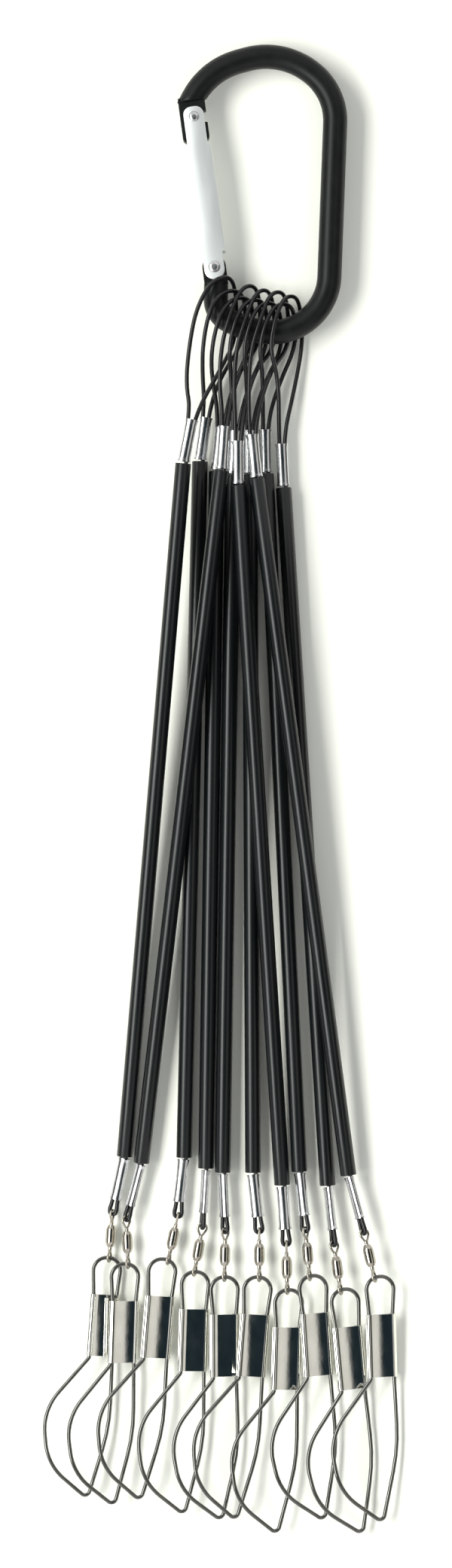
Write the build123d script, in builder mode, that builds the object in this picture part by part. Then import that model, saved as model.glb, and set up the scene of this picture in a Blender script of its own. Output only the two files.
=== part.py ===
from build123d import *
import math
import os

os.makedirs("parts", exist_ok=True)

# All sizes are in millimetres, angles in degrees.
# +Z is up along the hanging stringer, +X to the carabiner's spine, -Y to the front.
# The origin is the hang point, where a rope or hook bears inside the carabiner's top bow.

# Carabiner bar
bar_diameter = 8.0
bar_sides = 20
nose_corner = (-21.5, -0.2)
top_corner = (3.8, 6.5)
shoulder_corner = (20.9, -8.0)
spine_foot = (17.9, -88.0)
bottom_corner = (-7.0, -86.2)
hinge_corner = (-18.9, -80.9)
nose_bend = 24.0
top_bend = 24.0
shoulder_bend = 20.0
spine_bend = 19.0
bottom_bend = 25.0
hinge_bend = 8.0

# Gate, in its own frame: its foot rivet is the origin, its head rivet is straight up
hinge_x = -19.3
hinge_z = -65.4
gate_tilt = 7.72
rivet_spacing = 49.85
gate_foot = 4.1
gate_head = 53.2
wall_half_width = 3.35
gate_thickness = 1.0
gate_half_depth = 3.4
web_outer = 4.4
web_bottom = 4.6
web_top = 40.5
tongue_half_thickness = 2.25
tongue_outer = 4.5
tongue_inner = 4.3
nose_tongue_bottom = 41.6
hinge_tongue_radius = 3.9
bar_start_nose = 55.4
bar_start_hinge = 4.9
hinge_rivet_diameter = 2.6
latch_pin_diameter = 2.0
rivet_head_diameter = 3.8
rivet_head_height = 0.8
running_clearance = 0.06
fixed_clearance = 0.02
latch_seat_radius = 1.3
latch_mouth_low = 47.6
latch_mouth_high = 51.4

# Gate spring and its plunger
spring_offset = 1.15
spring_mean_radius = 1.4
spring_wire = 0.6
spring_turns = 4
spring_seat = 6.6
spring_stop = 24.5
plunger_radius = 0.95
plunger_collar_radius = 1.8
plunger_collar_height = 0.8
plunger_tail = 3.2
plunger_gap = 0.12
stop_thickness = 0.9

# Cord and its crimp sleeves
cord_diameter = 1.4
cord_sides = 4
strand_offset = 0.74
sleeve_length = 14.0
sleeve_wall = 0.46
sleeve_clearance = 0.06
sleeve_flare = 0.22
sleeve_flare_length = 1.3
sleeve_gap = 0.6
eye_drop = 5.1
eye_half_width = 1.5
eye_bend = 1.28

# Tubes
tube_outer_diameter = 5.2
tube_bore = 3.6
tube_length = 230.0
tube_sides = 12

# Barrel swivel
barrel_diameter = 3.5
barrel_length = 7.1
barrel_end_diameter = 2.3
barrel_taper = 1.0
barrel_lip = 0.7
barrel_sides = 10
cavity_radius = 1.3
stem_radius = 0.75
stem_head_radius = 1.18
stem_head_height = 0.9
stem_clearance = 0.07
swivel_eye_radius = 1.5
swivel_eye_wire = 0.8
swivel_eye_sides = 4
swivel_eye_reach = 3.6
eye_play = 0.25

# Snap: one bent wire and a folded clasp
snap_wire = 1.3
snap_wire_sides = 6
leg_half_spacing = 3.9
loop_half_width = 4.9
loop_bend = 4.3
neck_length = 12.4
clasp_top = 12.2
clasp_length = 20.5
clasp_sheet = 0.45
clasp_clearance = 0.05
clasp_lip = 1.2
start_depth = 22.0
return_depth = 26.5
corner_depth = 33.4
spine_leg_end = (4.5, -56.0)
snap_tip = (-1.2, -80.2)
bow_low = (-15.3, -69.5)
bow_high = (-18.3, -51.5)
tip_bend = 1.6
bow_bend = 18.0
snap_turn = 12.0

# Where each dropper lies: tube top x and z, tube lean, depth of the tube's top and bottom,
# leans of the top sleeve, bottom sleeve, swivel and snap, turn of the bottom eye,
# where along the snap's loop the swivel holds it, and the depth of that grip
droppers = {
    "01": (-29.4, -130.3, -4.9, -7.0, 9.0, -11.0, -12.0, -4.0, -4.0, 20.0, 0.5, 11.0),
    "02": (-16.8, -132.7, -6.65, -7.0, 6.0, -4.0, -14.5, 2.0, -1.8, 50.0, 0.9, 7.5),
    "03": (-24.0, -129.0, -1.3, 3.0, 4.5, -8.0, -6.3, -12.0, -4.5, 0.0, 1.8, 4.0),
    "04": (-18.5, -132.3, -0.87, 3.0, 2.0, -6.0, -3.5, -10.0, -1.8, 70.0, -0.3, 1.0),
    "05": (-13.0, -133.5, -0.87, 3.0, 0.0, -3.0, 2.5, -1.0, 0.2, 45.0, 0.0, -2.0),
    "06": (-7.6, -133.4, 0.27, 3.0, -2.0, 0.0, 6.0, 0.0, -4.4, 0.0, 0.3, -5.0),
    "07": (-11.4, -137.6, 3.6, -7.0, -5.0, 0.2, 4.0, 1.0, -1.9, 0.0, -0.6, -8.0),
    "08": (-2.2, -133.1, 2.7, 3.0, -6.0, 1.0, 6.0, 5.0, 3.7, 30.0, -0.9, -11.5),
    "09": (3.6, -137.8, 3.57, 3.0, -8.0, 2.8, 6.0, 8.0, 5.2, 60.0, -1.2, -14.0),
    "10": (-5.4, -135.4, 7.5, -7.0, -12.0, 5.6, 15.0, 13.0, 1.6, 60.0, -1.8, -17.0),
}

# How each top loop lies over the carabiner's bottom bar, from its tail's side in front
# of the bar, over the crest, and down behind the bar
loops = {
    "01": [(-28.6, -6.6, -104.0), (-27.4, -6.4, -91.0), (-25.0, -6.4, -79.0), (-19.8, -6.6, -70.0),
           (-13.4, -3.8, -68.4), (-11.9, 4.6, -76.0), (-12.2, 6.0, -88.5), (-16.6, -1.6, -98.0)],
    "02": [(-17.6, -6.6, -105.0), (-17.0, -6.4, -92.0), (-14.2, -6.4, -81.5), (-10.3, -5.0, -72.2),
           (-5.3, 0.0, -71.2), (-4.0, 5.6, -79.0), (-4.4, 6.2, -90.5), (-11.3, -2.2, -99.5)],
    "03": [(-23.2, -0.4, -100.0), (-23.0, -6.0, -91.0), (-21.0, -6.4, -80.5), (-17.0, -5.8, -74.0),
           (-10.8, -0.5, -72.8), (-8.8, 5.4, -77.5), (-9.6, 6.2, -89.0), (-17.8, 4.8, -102.0)],
    "04": [(-20.3, 0.2, -100.5), (-20.0, -6.0, -91.5), (-17.6, -6.4, -82.0), (-14.0, -5.0, -76.4),
           (-8.4, -0.2, -75.0), (-6.4, 5.5, -78.5), (-7.0, 6.2, -90.0), (-13.2, 4.8, -104.0)],
    "05": [(-13.8, -0.4, -101.0), (-14.4, -6.0, -92.0), (-12.2, -6.4, -82.5), (-8.8, -4.8, -77.0),
           (-3.6, 0.2, -75.8), (-1.8, 5.6, -80.0), (-1.8, 6.2, -91.0), (-8.0, 4.8, -104.0)],
    "06": [(-8.6, -0.4, -102.0), (-9.6, -6.0, -92.5), (-7.4, -6.4, -83.5), (-4.3, -4.8, -77.9),
           (0.7, 0.4, -76.9), (2.8, 5.6, -81.0), (3.2, 6.2, -91.5), (-3.2, 4.8, -104.0)],
    "07": [(-12.8, -6.6, -107.0), (-12.2, -6.4, -93.0), (-9.1, -6.4, -83.0), (-5.5, -4.6, -73.6),
           (-0.9, 0.4, -72.6), (0.6, 5.6, -80.0), (0.7, 6.2, -91.5), (-6.7, -2.2, -100.0)],
    "08": [(-3.2, 0.0, -102.0), (-4.5, -6.0, -92.5), (-2.6, -6.4, -84.5), (0.6, -4.8, -78.2),
           (5.4, 0.4, -77.2), (7.4, 5.6, -80.5), (7.8, 6.2, -90.5), (1.8, 4.8, -104.0)],
    "09": [(2.0, -0.4, -103.0), (-1.0, -6.0, -92.5), (0.5, -6.4, -83.5), (3.5, -4.8, -75.6),
           (7.8, 0.4, -74.6), (9.4, 5.6, -79.5), (10.0, 6.2, -90.0), (7.2, 4.8, -105.0)],
    "10": [(-8.0, -6.6, -107.0), (-7.4, -6.4, -93.5), (-4.3, -6.4, -83.5), (-1.0, -4.6, -74.2),
           (3.8, 0.4, -73.2), (5.2, 5.6, -80.0), (5.4, 6.2, -91.0), (-1.2, -2.2, -100.0)],
}


def down(lean, depth_slope=0.0):
    # Unit vector that points down the strand, leaning to +X by the given angle
    angle = math.radians(lean)
    return Vector(math.sin(angle), depth_slope, -math.cos(angle)).normalized()


def across(lean):
    angle = math.radians(lean)
    return Vector(math.cos(angle), 0, math.sin(angle))


def bend_radii(points, largest):
    radii = []
    for i in range(1, len(points) - 1):
        before = Vector(*points[i]) - Vector(*points[i - 1])
        after = Vector(*points[i + 1]) - Vector(*points[i])
        turn = math.radians(before.get_angle(after))
        room = 0.45 * min(before.length, after.length)
        radii.append(min(largest, room / math.tan(turn / 2)))
    return radii


# Derived sizes that several pieces share
cord_radius = cord_diameter / 2
hole_width = 2 * (strand_offset + cord_radius + sleeve_clearance)
hole_depth = 2 * (cord_radius + sleeve_clearance)
roll_inner = snap_wire / 2 + clasp_clearance
roll_outer = roll_inner + clasp_sheet
loop_flat = loop_half_width - loop_bend * math.tan(math.radians(47.3))
chain_length = sleeve_gap + sleeve_length + eye_drop + 2 * swivel_eye_reach + barrel_length
gate_plane = Plane(origin=(hinge_x, 0, hinge_z), x_dir=across(gate_tilt), z_dir=(0, -1, 0))


def gate_point(across_gate, along_gate):
    return gate_plane.from_local_coords((across_gate, along_gate, 0))


def strand_frames(layout):
    # Every plane of one dropper, worked down the chain from the tube's top. z points down
    # the strand in each one; the snap's own plane has z up its legs and x to the right.
    top_x, top_z, lean, top_y, bottom_y, top_lean, low_lean = layout[:7]
    swivel_lean, snap_lean, eye_turn, grip, grip_y = layout[7:]
    tube_top = Vector(top_x, top_y, top_z)
    tube_down = down(lean, (bottom_y - top_y) / tube_length)
    tube_bottom = tube_top + tube_down * tube_length
    depth_slope = (grip_y - bottom_y) / chain_length
    upper_down = down(top_lean)
    lower_down = down(low_lean, depth_slope)
    swivel_down = down(swivel_lean, depth_slope)
    mouth = tube_top - upper_down * (sleeve_gap + sleeve_length)
    frames = {}
    frames["tube"] = Plane(origin=tube_top, x_dir=across(lean), z_dir=tube_down)
    frames["upper_sleeve"] = Plane(origin=mouth, x_dir=across(top_lean), z_dir=upper_down)
    sleeve_top = tube_bottom + lower_down * sleeve_gap
    lower = Plane(origin=sleeve_top, x_dir=across(low_lean), z_dir=lower_down)
    turn = math.radians(eye_turn)
    wide = lower.x_dir * math.cos(turn) + lower.y_dir * math.sin(turn)
    lower = Plane(origin=sleeve_top, x_dir=wide, z_dir=lower_down)
    frames["lower_sleeve"] = lower
    eye_bottom = lower.from_local_coords((0, 0, sleeve_length + eye_drop))
    hang = swivel_eye_radius - swivel_eye_wire / 2 - cord_radius - eye_play
    ring = eye_bottom + swivel_down * hang
    frames["upper_eye"] = Plane(origin=ring, x_dir=swivel_down.cross(lower.x_dir), z_dir=swivel_down)
    barrel = ring + swivel_down * swivel_eye_reach
    frames["barrel"] = Plane(origin=barrel, x_dir=across(swivel_lean), z_dir=swivel_down)
    ring = barrel + swivel_down * (barrel_length + swivel_eye_reach)
    turned = across(swivel_lean) * math.sin(math.radians(20)) + Vector(0, 1, 0) * math.cos(math.radians(20))
    frames["lower_eye"] = Plane(origin=ring, x_dir=turned, z_dir=swivel_down * -1)
    hang = swivel_eye_radius - swivel_eye_wire / 2 - snap_wire / 2 - eye_play
    grip_point = ring + swivel_down * hang
    turn = math.radians(snap_turn)
    right = across(snap_lean) * math.cos(turn) + Vector(0, 1, 0) * math.sin(turn)
    up = down(snap_lean) * -1
    past_flat = max(0.0, abs(grip) - loop_flat)
    drop = loop_bend - math.sqrt(loop_bend**2 - past_flat**2)
    frames["snap"] = Plane(origin=grip_point - right * grip + up * drop, x_dir=right, z_dir=up)
    frames["spin_axis"] = swivel_down * -1
    frames["grip"] = grip_point
    return frames


def cord_points(frames, loop):
    upper = frames["upper_sleeve"].from_local_coords
    lower = frames["lower_sleeve"].from_local_coords
    # The cord leaves each sleeve straight and bends a little past its end
    past = 2.2
    points = [upper((-strand_offset, 0, sleeve_length - 0.4)), upper((-strand_offset, 0, -past))]
    points += [Vector(*point) for point in loop]
    points += [upper((strand_offset, 0, -past)), upper((strand_offset, 0, sleeve_length + past))]
    points += [lower((strand_offset, 0, -past)), lower((strand_offset, 0, sleeve_length + 0.2))]
    points += [lower((eye_half_width, 0, sleeve_length + eye_drop))]
    points += [lower((-eye_half_width, 0, sleeve_length + eye_drop))]
    points += [lower((-strand_offset, 0, sleeve_length + 0.2)), lower((-strand_offset, 0, 0.4))]
    radii = bend_radii(points, 30.0)
    for i in (1, len(loop) + 2, len(loop) + 3, len(loop) + 4):
        before = points[i] - points[i - 1]
        after = points[i + 1] - points[i]
        turn = math.radians(before.get_angle(after))
        radii[i - 1] = min(radii[i - 1], 0.85 * past / math.tan(turn / 2))
    radii[-3] = eye_bend
    radii[-4] = eye_bend
    return points, radii


def snap_points():
    left = -leg_half_spacing
    right = leg_half_spacing
    points = [(left, -start_depth), (left, -neck_length), (-loop_half_width, 0), (loop_half_width, 0)]
    points += [(right, -neck_length), (right, -corner_depth - 0.6), spine_leg_end, snap_tip, bow_low, bow_high]
    points += [(left, -corner_depth), (left, -return_depth)]
    radii = [6.0, loop_bend, loop_bend, 6.0, 60.0, 60.0, tip_bend, bow_bend, bow_bend, tip_bend]
    return points, radii


# Carabiner body: the bent bar and the two flat tongues the gate rides on
bar_path_2d = [nose_corner, top_corner, shoulder_corner, spine_foot, bottom_corner, hinge_corner]
bar_bends = [nose_bend, top_bend, shoulder_bend, spine_bend, bottom_bend, hinge_bend]
bar_points = [gate_point(0, bar_start_nose)]
bar_points += [Vector(x, 0, z) for x, z in bar_path_2d]
bar_points += [gate_point(0, -bar_start_hinge)]
with BuildPart() as carabiner_body:
    with BuildLine() as bar_line:
        FilletPolyline(*bar_points, radius=bar_bends)
    with BuildSketch(Plane(origin=bar_line.line @ 0, z_dir=bar_line.line % 0)):
        RegularPolygon(bar_diameter / 2, bar_sides)
    sweep()
    with BuildSketch(gate_plane):
        with BuildLine():
            Polyline(
                (-tongue_outer, nose_tongue_bottom),
                (tongue_inner, nose_tongue_bottom),
                (tongue_inner, bar_start_nose + 1.6),
                (-tongue_outer, bar_start_nose + 1.0),
                close=True,
            )
        make_face()
        fillet(vertices().sort_by(Axis.Y)[:2], 1.6)
        with Locations((0, rivet_spacing)):
            Circle(latch_seat_radius, mode=Mode.SUBTRACT)
        with BuildLine():
            Polyline(
                (0, rivet_spacing - latch_seat_radius),
                (tongue_inner + 0.2, latch_mouth_low),
                (tongue_inner + 0.2, latch_mouth_high),
                (0, rivet_spacing + latch_seat_radius),
                close=True,
            )
        make_face(mode=Mode.SUBTRACT)
    extrude(amount=tongue_half_thickness, both=True)
    with BuildSketch(gate_plane):
        Circle(hinge_tongue_radius)
        with Locations((0, -bar_start_hinge / 2 - 0.5)):
            Rectangle(2 * hinge_tongue_radius, bar_start_hinge + 1.0)
        Circle(hinge_rivet_diameter / 2 + fixed_clearance, mode=Mode.SUBTRACT)
    extrude(amount=tongue_half_thickness, both=True)
carabiner_body.part.label = "carabiner_body"
export_step(carabiner_body.part, "parts/carabiner_body.step")

# Gate: side walls over both tongues, the web between the tongues, a stop for the spring
inner_half_depth = gate_half_depth - gate_thickness
with BuildPart() as carabiner_gate:
    with BuildSketch(gate_plane):
        with Locations((0, (gate_head - gate_foot) / 2)):
            Rectangle(2 * wall_half_width, gate_head + gate_foot)
        fillet(vertices().group_by(Axis.Y)[0], wall_half_width - 0.15)
        fillet(vertices().group_by(Axis.Y)[-1], 2.6)
        with Locations((web_outer / 2, (web_bottom + web_top) / 2)):
            Rectangle(web_outer, web_top - web_bottom)
    extrude(amount=gate_half_depth, both=True)
    fold_edges = edges().filter_by(lambda e: abs(gate_plane.to_local_coords(e.center()).X - web_outer) < 0.01)
    fold_edges = fold_edges.filter_by(lambda e: e.length > web_top - web_bottom - 0.1)
    fillet(fold_edges, 0.9)
    with BuildSketch(gate_plane):
        with Locations(((wall_half_width - 9.0) / 2, (gate_head - gate_foot) / 2)):
            Rectangle(wall_half_width + 9.0, gate_head + gate_foot + 2.0)
    extrude(amount=inner_half_depth, both=True, mode=Mode.SUBTRACT)
    with BuildSketch(gate_plane):
        with Locations((spring_offset, spring_stop + stop_thickness / 2)):
            Rectangle(2 * (wall_half_width + 0.2 - spring_offset), stop_thickness)
    extrude(amount=inner_half_depth + 0.2, both=True)
    with BuildSketch(gate_plane):
        Circle(hinge_rivet_diameter / 2 + running_clearance)
        with Locations((0, rivet_spacing)):
            Circle(latch_pin_diameter / 2 + fixed_clearance)
    extrude(amount=gate_half_depth + 1.0, both=True, mode=Mode.SUBTRACT)
carabiner_gate.part.label = "carabiner_gate"
export_step(carabiner_gate.part, "parts/carabiner_gate.step")


def rivet_profile(shank_radius, head_radius, gap):
    # Half of the rivet's outline, from its middle to the top of one head
    start = gate_half_depth + gap
    with BuildLine() as outline:
        Polyline(
            (0, -start - rivet_head_height),
            (head_radius * 0.55, -start - rivet_head_height),
            (head_radius, -start - rivet_head_height * 0.4),
            (head_radius, -start),
            (shank_radius, -start),
            (shank_radius, start),
            (head_radius, start),
            (head_radius, start + rivet_head_height * 0.4),
            (head_radius * 0.55, start + rivet_head_height),
            (0, start + rivet_head_height),
            close=True,
        )
    return outline.line


hinge_frame = Plane(origin=(hinge_x, 0, hinge_z), x_dir=(1, 0, 0), z_dir=(0, 0, 1))
with BuildPart() as gate_hinge_rivet:
    with BuildSketch(hinge_frame):
        with BuildLine():
            add(rivet_profile(hinge_rivet_diameter / 2, rivet_head_diameter / 2, running_clearance))
        make_face()
    revolve(axis=Axis((hinge_x, 0, hinge_z), (0, 1, 0)))
gate_hinge_rivet.part.label = "gate_hinge_rivet"
export_step(gate_hinge_rivet.part, "parts/gate_hinge_rivet.step")

latch_point = gate_point(0, rivet_spacing)
with BuildPart() as gate_latch_pin:
    with BuildSketch(Plane(origin=latch_point, x_dir=(1, 0, 0), z_dir=(0, 0, 1))):
        with BuildLine():
            add(rivet_profile(latch_pin_diameter / 2, rivet_head_diameter / 2 - 0.2, 0.0))
        make_face()
    revolve(axis=Axis(latch_point, (0, 1, 0)))
gate_latch_pin.part.label = "gate_latch_pin"
export_step(gate_latch_pin.part, "parts/gate_latch_pin.step")

# Plunger: a round-nosed pin with a collar the spring sits on
nose_height = math.sqrt((hinge_tongue_radius + plunger_gap + plunger_radius)**2 - spring_offset**2)
plunger_axis = Axis(gate_point(spring_offset, 0), across(gate_tilt).cross(Vector(0, -1, 0)) * -1)
with BuildPart() as spring_plunger:
    with BuildSketch(gate_plane):
        with BuildLine():
            base = (spring_offset, nose_height - plunger_radius)
            side = (spring_offset + plunger_radius, nose_height)
            RadiusArc(base, side, -plunger_radius)
            Polyline(
                side,
                (spring_offset + plunger_radius, spring_seat - plunger_collar_height),
                (spring_offset + plunger_collar_radius, spring_seat - plunger_collar_height),
                (spring_offset + plunger_collar_radius, spring_seat),
                (spring_offset + plunger_radius, spring_seat),
                (spring_offset + plunger_radius, spring_seat + plunger_tail),
                (spring_offset, spring_seat + plunger_tail),
                base,
            )
        make_face()
    revolve(axis=plunger_axis)
spring_plunger.part.label = "spring_plunger"
export_step(spring_plunger.part, "parts/spring_plunger.step")

# Gate spring: a coil of quarter turns between the collar and the stop
spring_bottom = spring_seat + spring_wire / 2 + 0.04
spring_height = spring_stop - spring_wire / 2 - 0.04 - spring_bottom
quarter_turns = 4 * spring_turns
coil_points = []
for i in range(quarter_turns + 1):
    angle = math.radians(90 * i + 45)
    reach = spring_mean_radius / math.cos(math.radians(45))
    local = (
        spring_offset + reach * math.cos(angle),
        spring_bottom + spring_height * i / quarter_turns,
        reach * math.sin(angle),
    )
    coil_points.append(gate_plane.from_local_coords(local))
with BuildPart() as gate_spring:
    with BuildLine() as coil:
        FilletPolyline(*coil_points, radius=0.94 * spring_mean_radius)
    with BuildSketch(Plane(origin=coil.line @ 0, z_dir=coil.line % 0)):
        RegularPolygon(spring_wire / 2, 4)
    sweep()
gate_spring.part.label = "gate_spring"
export_step(gate_spring.part, "parts/gate_spring.step")
coil_path = coil.wire()
coil_samples = [coil_path.position_at(i / 400) for i in range(401)]
apart = int(400 / spring_turns * 0.5)
coil_gap = min((p - q).length for i, p in enumerate(coil_samples) for q in coil_samples[i + apart:]) - spring_wire
print("gate spring: least gap between its turns %.2f mm" % coil_gap)


def sleeve_section(flare):
    Rectangle(hole_width + 2 * (sleeve_wall + flare), hole_depth + 2 * (sleeve_wall + flare))
    chamfer(vertices(), 0.3 * hole_depth + sleeve_wall)


def eye_outline(frame):
    # The wire of one swivel eye, in a plane through the swivel's axis, z from the ring to the barrel
    reach = 2 * swivel_eye_radius
    half_turn = math.radians(60)
    corner = swivel_eye_radius * math.tan(half_turn)
    foot = 0.26
    points = [
        frame.from_local_coords((-foot, 0, reach - foot * math.tan(half_turn))),
        frame.from_local_coords((-corner, 0, -swivel_eye_radius)),
        frame.from_local_coords((corner, 0, -swivel_eye_radius)),
        frame.from_local_coords((foot, 0, reach - foot * math.tan(half_turn))),
    ]
    return points


def swivel_eye(frame):
    # One eye with its neck and the headed stem that turns in the barrel's end hole
    neck_start = 2 * swivel_eye_radius - 0.95
    stem_end = swivel_eye_reach + barrel_lip + stem_clearance
    with BuildPart() as eye:
        with BuildLine() as eye_line:
            FilletPolyline(*eye_outline(frame), radius=swivel_eye_radius * 0.97)
        with BuildSketch(Plane(origin=eye_line.line @ 0, z_dir=eye_line.line % 0)):
            RegularPolygon(swivel_eye_wire / 2, swivel_eye_sides)
        sweep()
        with BuildSketch(frame.offset(neck_start)):
            RegularPolygon(stem_radius, 8)
        extrude(amount=stem_end + 0.1 - neck_start)
        with BuildSketch(frame.offset(stem_end)):
            RegularPolygon(stem_head_radius, 8)
        extrude(amount=stem_head_height)
    return eye.part


for number, layout in droppers.items():
    frames = strand_frames(layout)

    # Cord: one length, from the tail in the top sleeve to the tail in the bottom sleeve
    points, radii = cord_points(frames, loops[number])
    with BuildPart() as cord:
        with BuildLine() as cord_line:
            FilletPolyline(*points, radius=radii)
        with BuildSketch(Plane(origin=cord_line.line @ 0, z_dir=cord_line.line % 0)):
            RegularPolygon(cord_radius, cord_sides)
        sweep()
    cord.part.label = "cord_" + number
    export_step(cord.part, "parts/cord_" + number + ".step")
    print("cord_%s: length %.1f mm, radii %s" % (number, cord_line.wire().length, [round(r, 1) for r in radii]))

    # Tube over the cord
    with BuildPart() as tube:
        with BuildSketch(frames["tube"]):
            RegularPolygon(tube_outer_diameter / 2, tube_sides)
            RegularPolygon(tube_bore / 2, tube_sides, mode=Mode.SUBTRACT)
        extrude(amount=tube_length)
    tube.part.label = "tube_" + number
    export_step(tube.part, "parts/tube_" + number + ".step")

    # The two crimp sleeves, flared at both ends
    with BuildPart() as sleeves:
        for frame in (frames["upper_sleeve"], frames["lower_sleeve"]):
            with BuildPart() as sleeve:
                with BuildSketch(frame):
                    sleeve_section(sleeve_flare)
                with BuildSketch(frame.offset(sleeve_flare_length)):
                    sleeve_section(0)
                with BuildSketch(frame.offset(sleeve_length - sleeve_flare_length)):
                    sleeve_section(0)
                with BuildSketch(frame.offset(sleeve_length)):
                    sleeve_section(sleeve_flare)
                loft(ruled=True)
                with BuildSketch(frame):
                    Rectangle(hole_width, hole_depth)
                    chamfer(vertices(), 0.3)
                extrude(amount=sleeve_length, mode=Mode.SUBTRACT)
            add(sleeve.part)
    sleeves.part.label = "sleeves_" + number
    export_step(sleeves.part, "parts/sleeves_" + number + ".step")

    # Swivel barrel, hollow for the two stem heads, with its upper eye
    barrel = frames["barrel"]
    end_radius = barrel_end_diameter / 2
    full_radius = barrel_diameter / 2
    with BuildPart() as swivel:
        with BuildSketch(barrel):
            RegularPolygon(end_radius, barrel_sides)
        with BuildSketch(barrel.offset(barrel_taper)):
            RegularPolygon(full_radius, barrel_sides)
        with BuildSketch(barrel.offset(barrel_length - barrel_taper)):
            RegularPolygon(full_radius, barrel_sides)
        with BuildSketch(barrel.offset(barrel_length)):
            RegularPolygon(end_radius, barrel_sides)
        loft(ruled=True)
        with BuildSketch(barrel):
            RegularPolygon(stem_radius + stem_clearance, barrel_sides, major_radius=False)
        extrude(amount=barrel_length, mode=Mode.SUBTRACT)
        with BuildSketch(barrel.offset(barrel_lip)):
            RegularPolygon(cavity_radius, barrel_sides, major_radius=False)
        extrude(amount=barrel_length - 2 * barrel_lip, mode=Mode.SUBTRACT)
        add(swivel_eye(frames["upper_eye"]))
    swivel.part.label = "swivel_" + number
    export_step(swivel.part, "parts/swivel_" + number + ".step")

    # Snap: the swivel's lower eye, the bent wire and the folded clasp
    snap_plane = frames["snap"]
    legs = [snap_plane.from_local_coords((u, 0, w)) for u, w in snap_points()[0]]
    with BuildPart() as snap:
        add(swivel_eye(frames["lower_eye"]))
        with BuildLine() as wire_line:
            FilletPolyline(*legs, radius=snap_points()[1])
        with BuildSketch(Plane(origin=wire_line.line @ 0, z_dir=wire_line.line % 0)):
            RegularPolygon(snap_wire / 2, snap_wire_sides)
        sweep()
        middle = (roll_inner + roll_outer) / 2
        with BuildSketch(snap_plane.offset(-clasp_top - clasp_length)):
            with BuildLine() as fold:
                Line((-leg_half_spacing + clasp_lip, middle), (-leg_half_spacing, middle))
                CenterArc((-leg_half_spacing, 0), middle, 90, 180)
                Line((-leg_half_spacing, -middle), (leg_half_spacing, -middle))
                CenterArc((leg_half_spacing, 0), middle, -90, 180)
                Line((leg_half_spacing, middle), (leg_half_spacing - clasp_lip, middle))
            trace(fold.line, line_width=clasp_sheet)
        extrude(amount=clasp_length)
    snap.part.label = "snap_" + number
    export_step(snap.part, "parts/snap_" + number + ".step")
    print("dropper %s: spin axis %s through %s" % (
        number,
        [round(v, 5) for v in tuple(frames["spin_axis"])],
        [round(v, 3) for v in tuple(frames["grip"])],
    ))
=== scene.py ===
import bmesh
import bpy
import math
from mathutils import Matrix, Vector


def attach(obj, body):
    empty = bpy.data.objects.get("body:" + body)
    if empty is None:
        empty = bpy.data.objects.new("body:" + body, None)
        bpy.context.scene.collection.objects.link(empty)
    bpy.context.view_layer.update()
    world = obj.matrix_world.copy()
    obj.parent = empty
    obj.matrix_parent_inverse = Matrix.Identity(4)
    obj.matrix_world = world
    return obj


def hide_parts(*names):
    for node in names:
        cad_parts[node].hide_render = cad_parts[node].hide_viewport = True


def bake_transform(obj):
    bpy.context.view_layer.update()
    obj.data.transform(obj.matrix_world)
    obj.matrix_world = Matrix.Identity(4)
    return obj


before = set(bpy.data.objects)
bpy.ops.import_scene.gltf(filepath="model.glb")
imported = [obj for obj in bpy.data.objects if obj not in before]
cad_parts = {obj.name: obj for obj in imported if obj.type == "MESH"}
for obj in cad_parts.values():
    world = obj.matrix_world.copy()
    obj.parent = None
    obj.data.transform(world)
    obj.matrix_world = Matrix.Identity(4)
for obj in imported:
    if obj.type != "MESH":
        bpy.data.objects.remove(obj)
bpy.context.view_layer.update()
print("frame loaded:", len(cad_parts), "nodes")


# Finishes: two shades in soft blotches, a roughness that follows them, and a fine bump

def grainOf(tree, scale, stretch, detail=3.0):
    coords = tree.nodes.new("ShaderNodeTexCoord")
    mapping = tree.nodes.new("ShaderNodeMapping")
    mapping.inputs["Scale"].default_value = stretch
    grain = tree.nodes.new("ShaderNodeTexNoise")
    grain.inputs["Scale"].default_value = scale
    grain.inputs["Detail"].default_value = detail
    tree.links.new(coords.outputs["Object"], mapping.inputs["Vector"])
    tree.links.new(mapping.outputs["Vector"], grain.inputs["Vector"])
    return grain.outputs[0]


def spanOf(tree, value, low, high, start=0.3, end=0.7):
    # most of the noise lies between start and end
    remap = tree.nodes.new("ShaderNodeMapRange")
    remap.inputs["From Min"].default_value = start
    remap.inputs["From Max"].default_value = end
    remap.inputs["To Min"].default_value = low
    remap.inputs["To Max"].default_value = high
    tree.links.new(value, remap.inputs["Value"])
    return remap.outputs["Result"]


def finishOf(name, dark, light, roughness, blotchScale, grainScale, bump, bumpDepth,
             metallic=1.0, specular=0.5, stretch=(1, 1, 1)):
    material = bpy.data.materials.new(name)
    material.use_nodes = True
    tree = material.node_tree
    shader = tree.nodes["Principled BSDF"]
    shader.inputs["Metallic"].default_value = metallic
    shader.inputs["Specular IOR Level"].default_value = specular
    blotch = grainOf(tree, blotchScale, stretch)
    shades = tree.nodes.new("ShaderNodeMix")
    shades.data_type = "RGBA"
    shades.inputs["A"].default_value = (*dark, 1)
    shades.inputs["B"].default_value = (*light, 1)
    tree.links.new(spanOf(tree, blotch, 0, 1), shades.inputs["Factor"])
    tree.links.new(shades.outputs["Result"], shader.inputs["Base Color"])
    tree.links.new(spanOf(tree, blotch, *roughness), shader.inputs["Roughness"])
    relief = tree.nodes.new("ShaderNodeBump")
    relief.inputs["Strength"].default_value = bump
    relief.inputs["Distance"].default_value = bumpDepth
    tree.links.new(grainOf(tree, grainScale, stretch), relief.inputs["Height"])
    tree.links.new(relief.outputs["Normal"], shader.inputs["Normal"])
    return material


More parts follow.
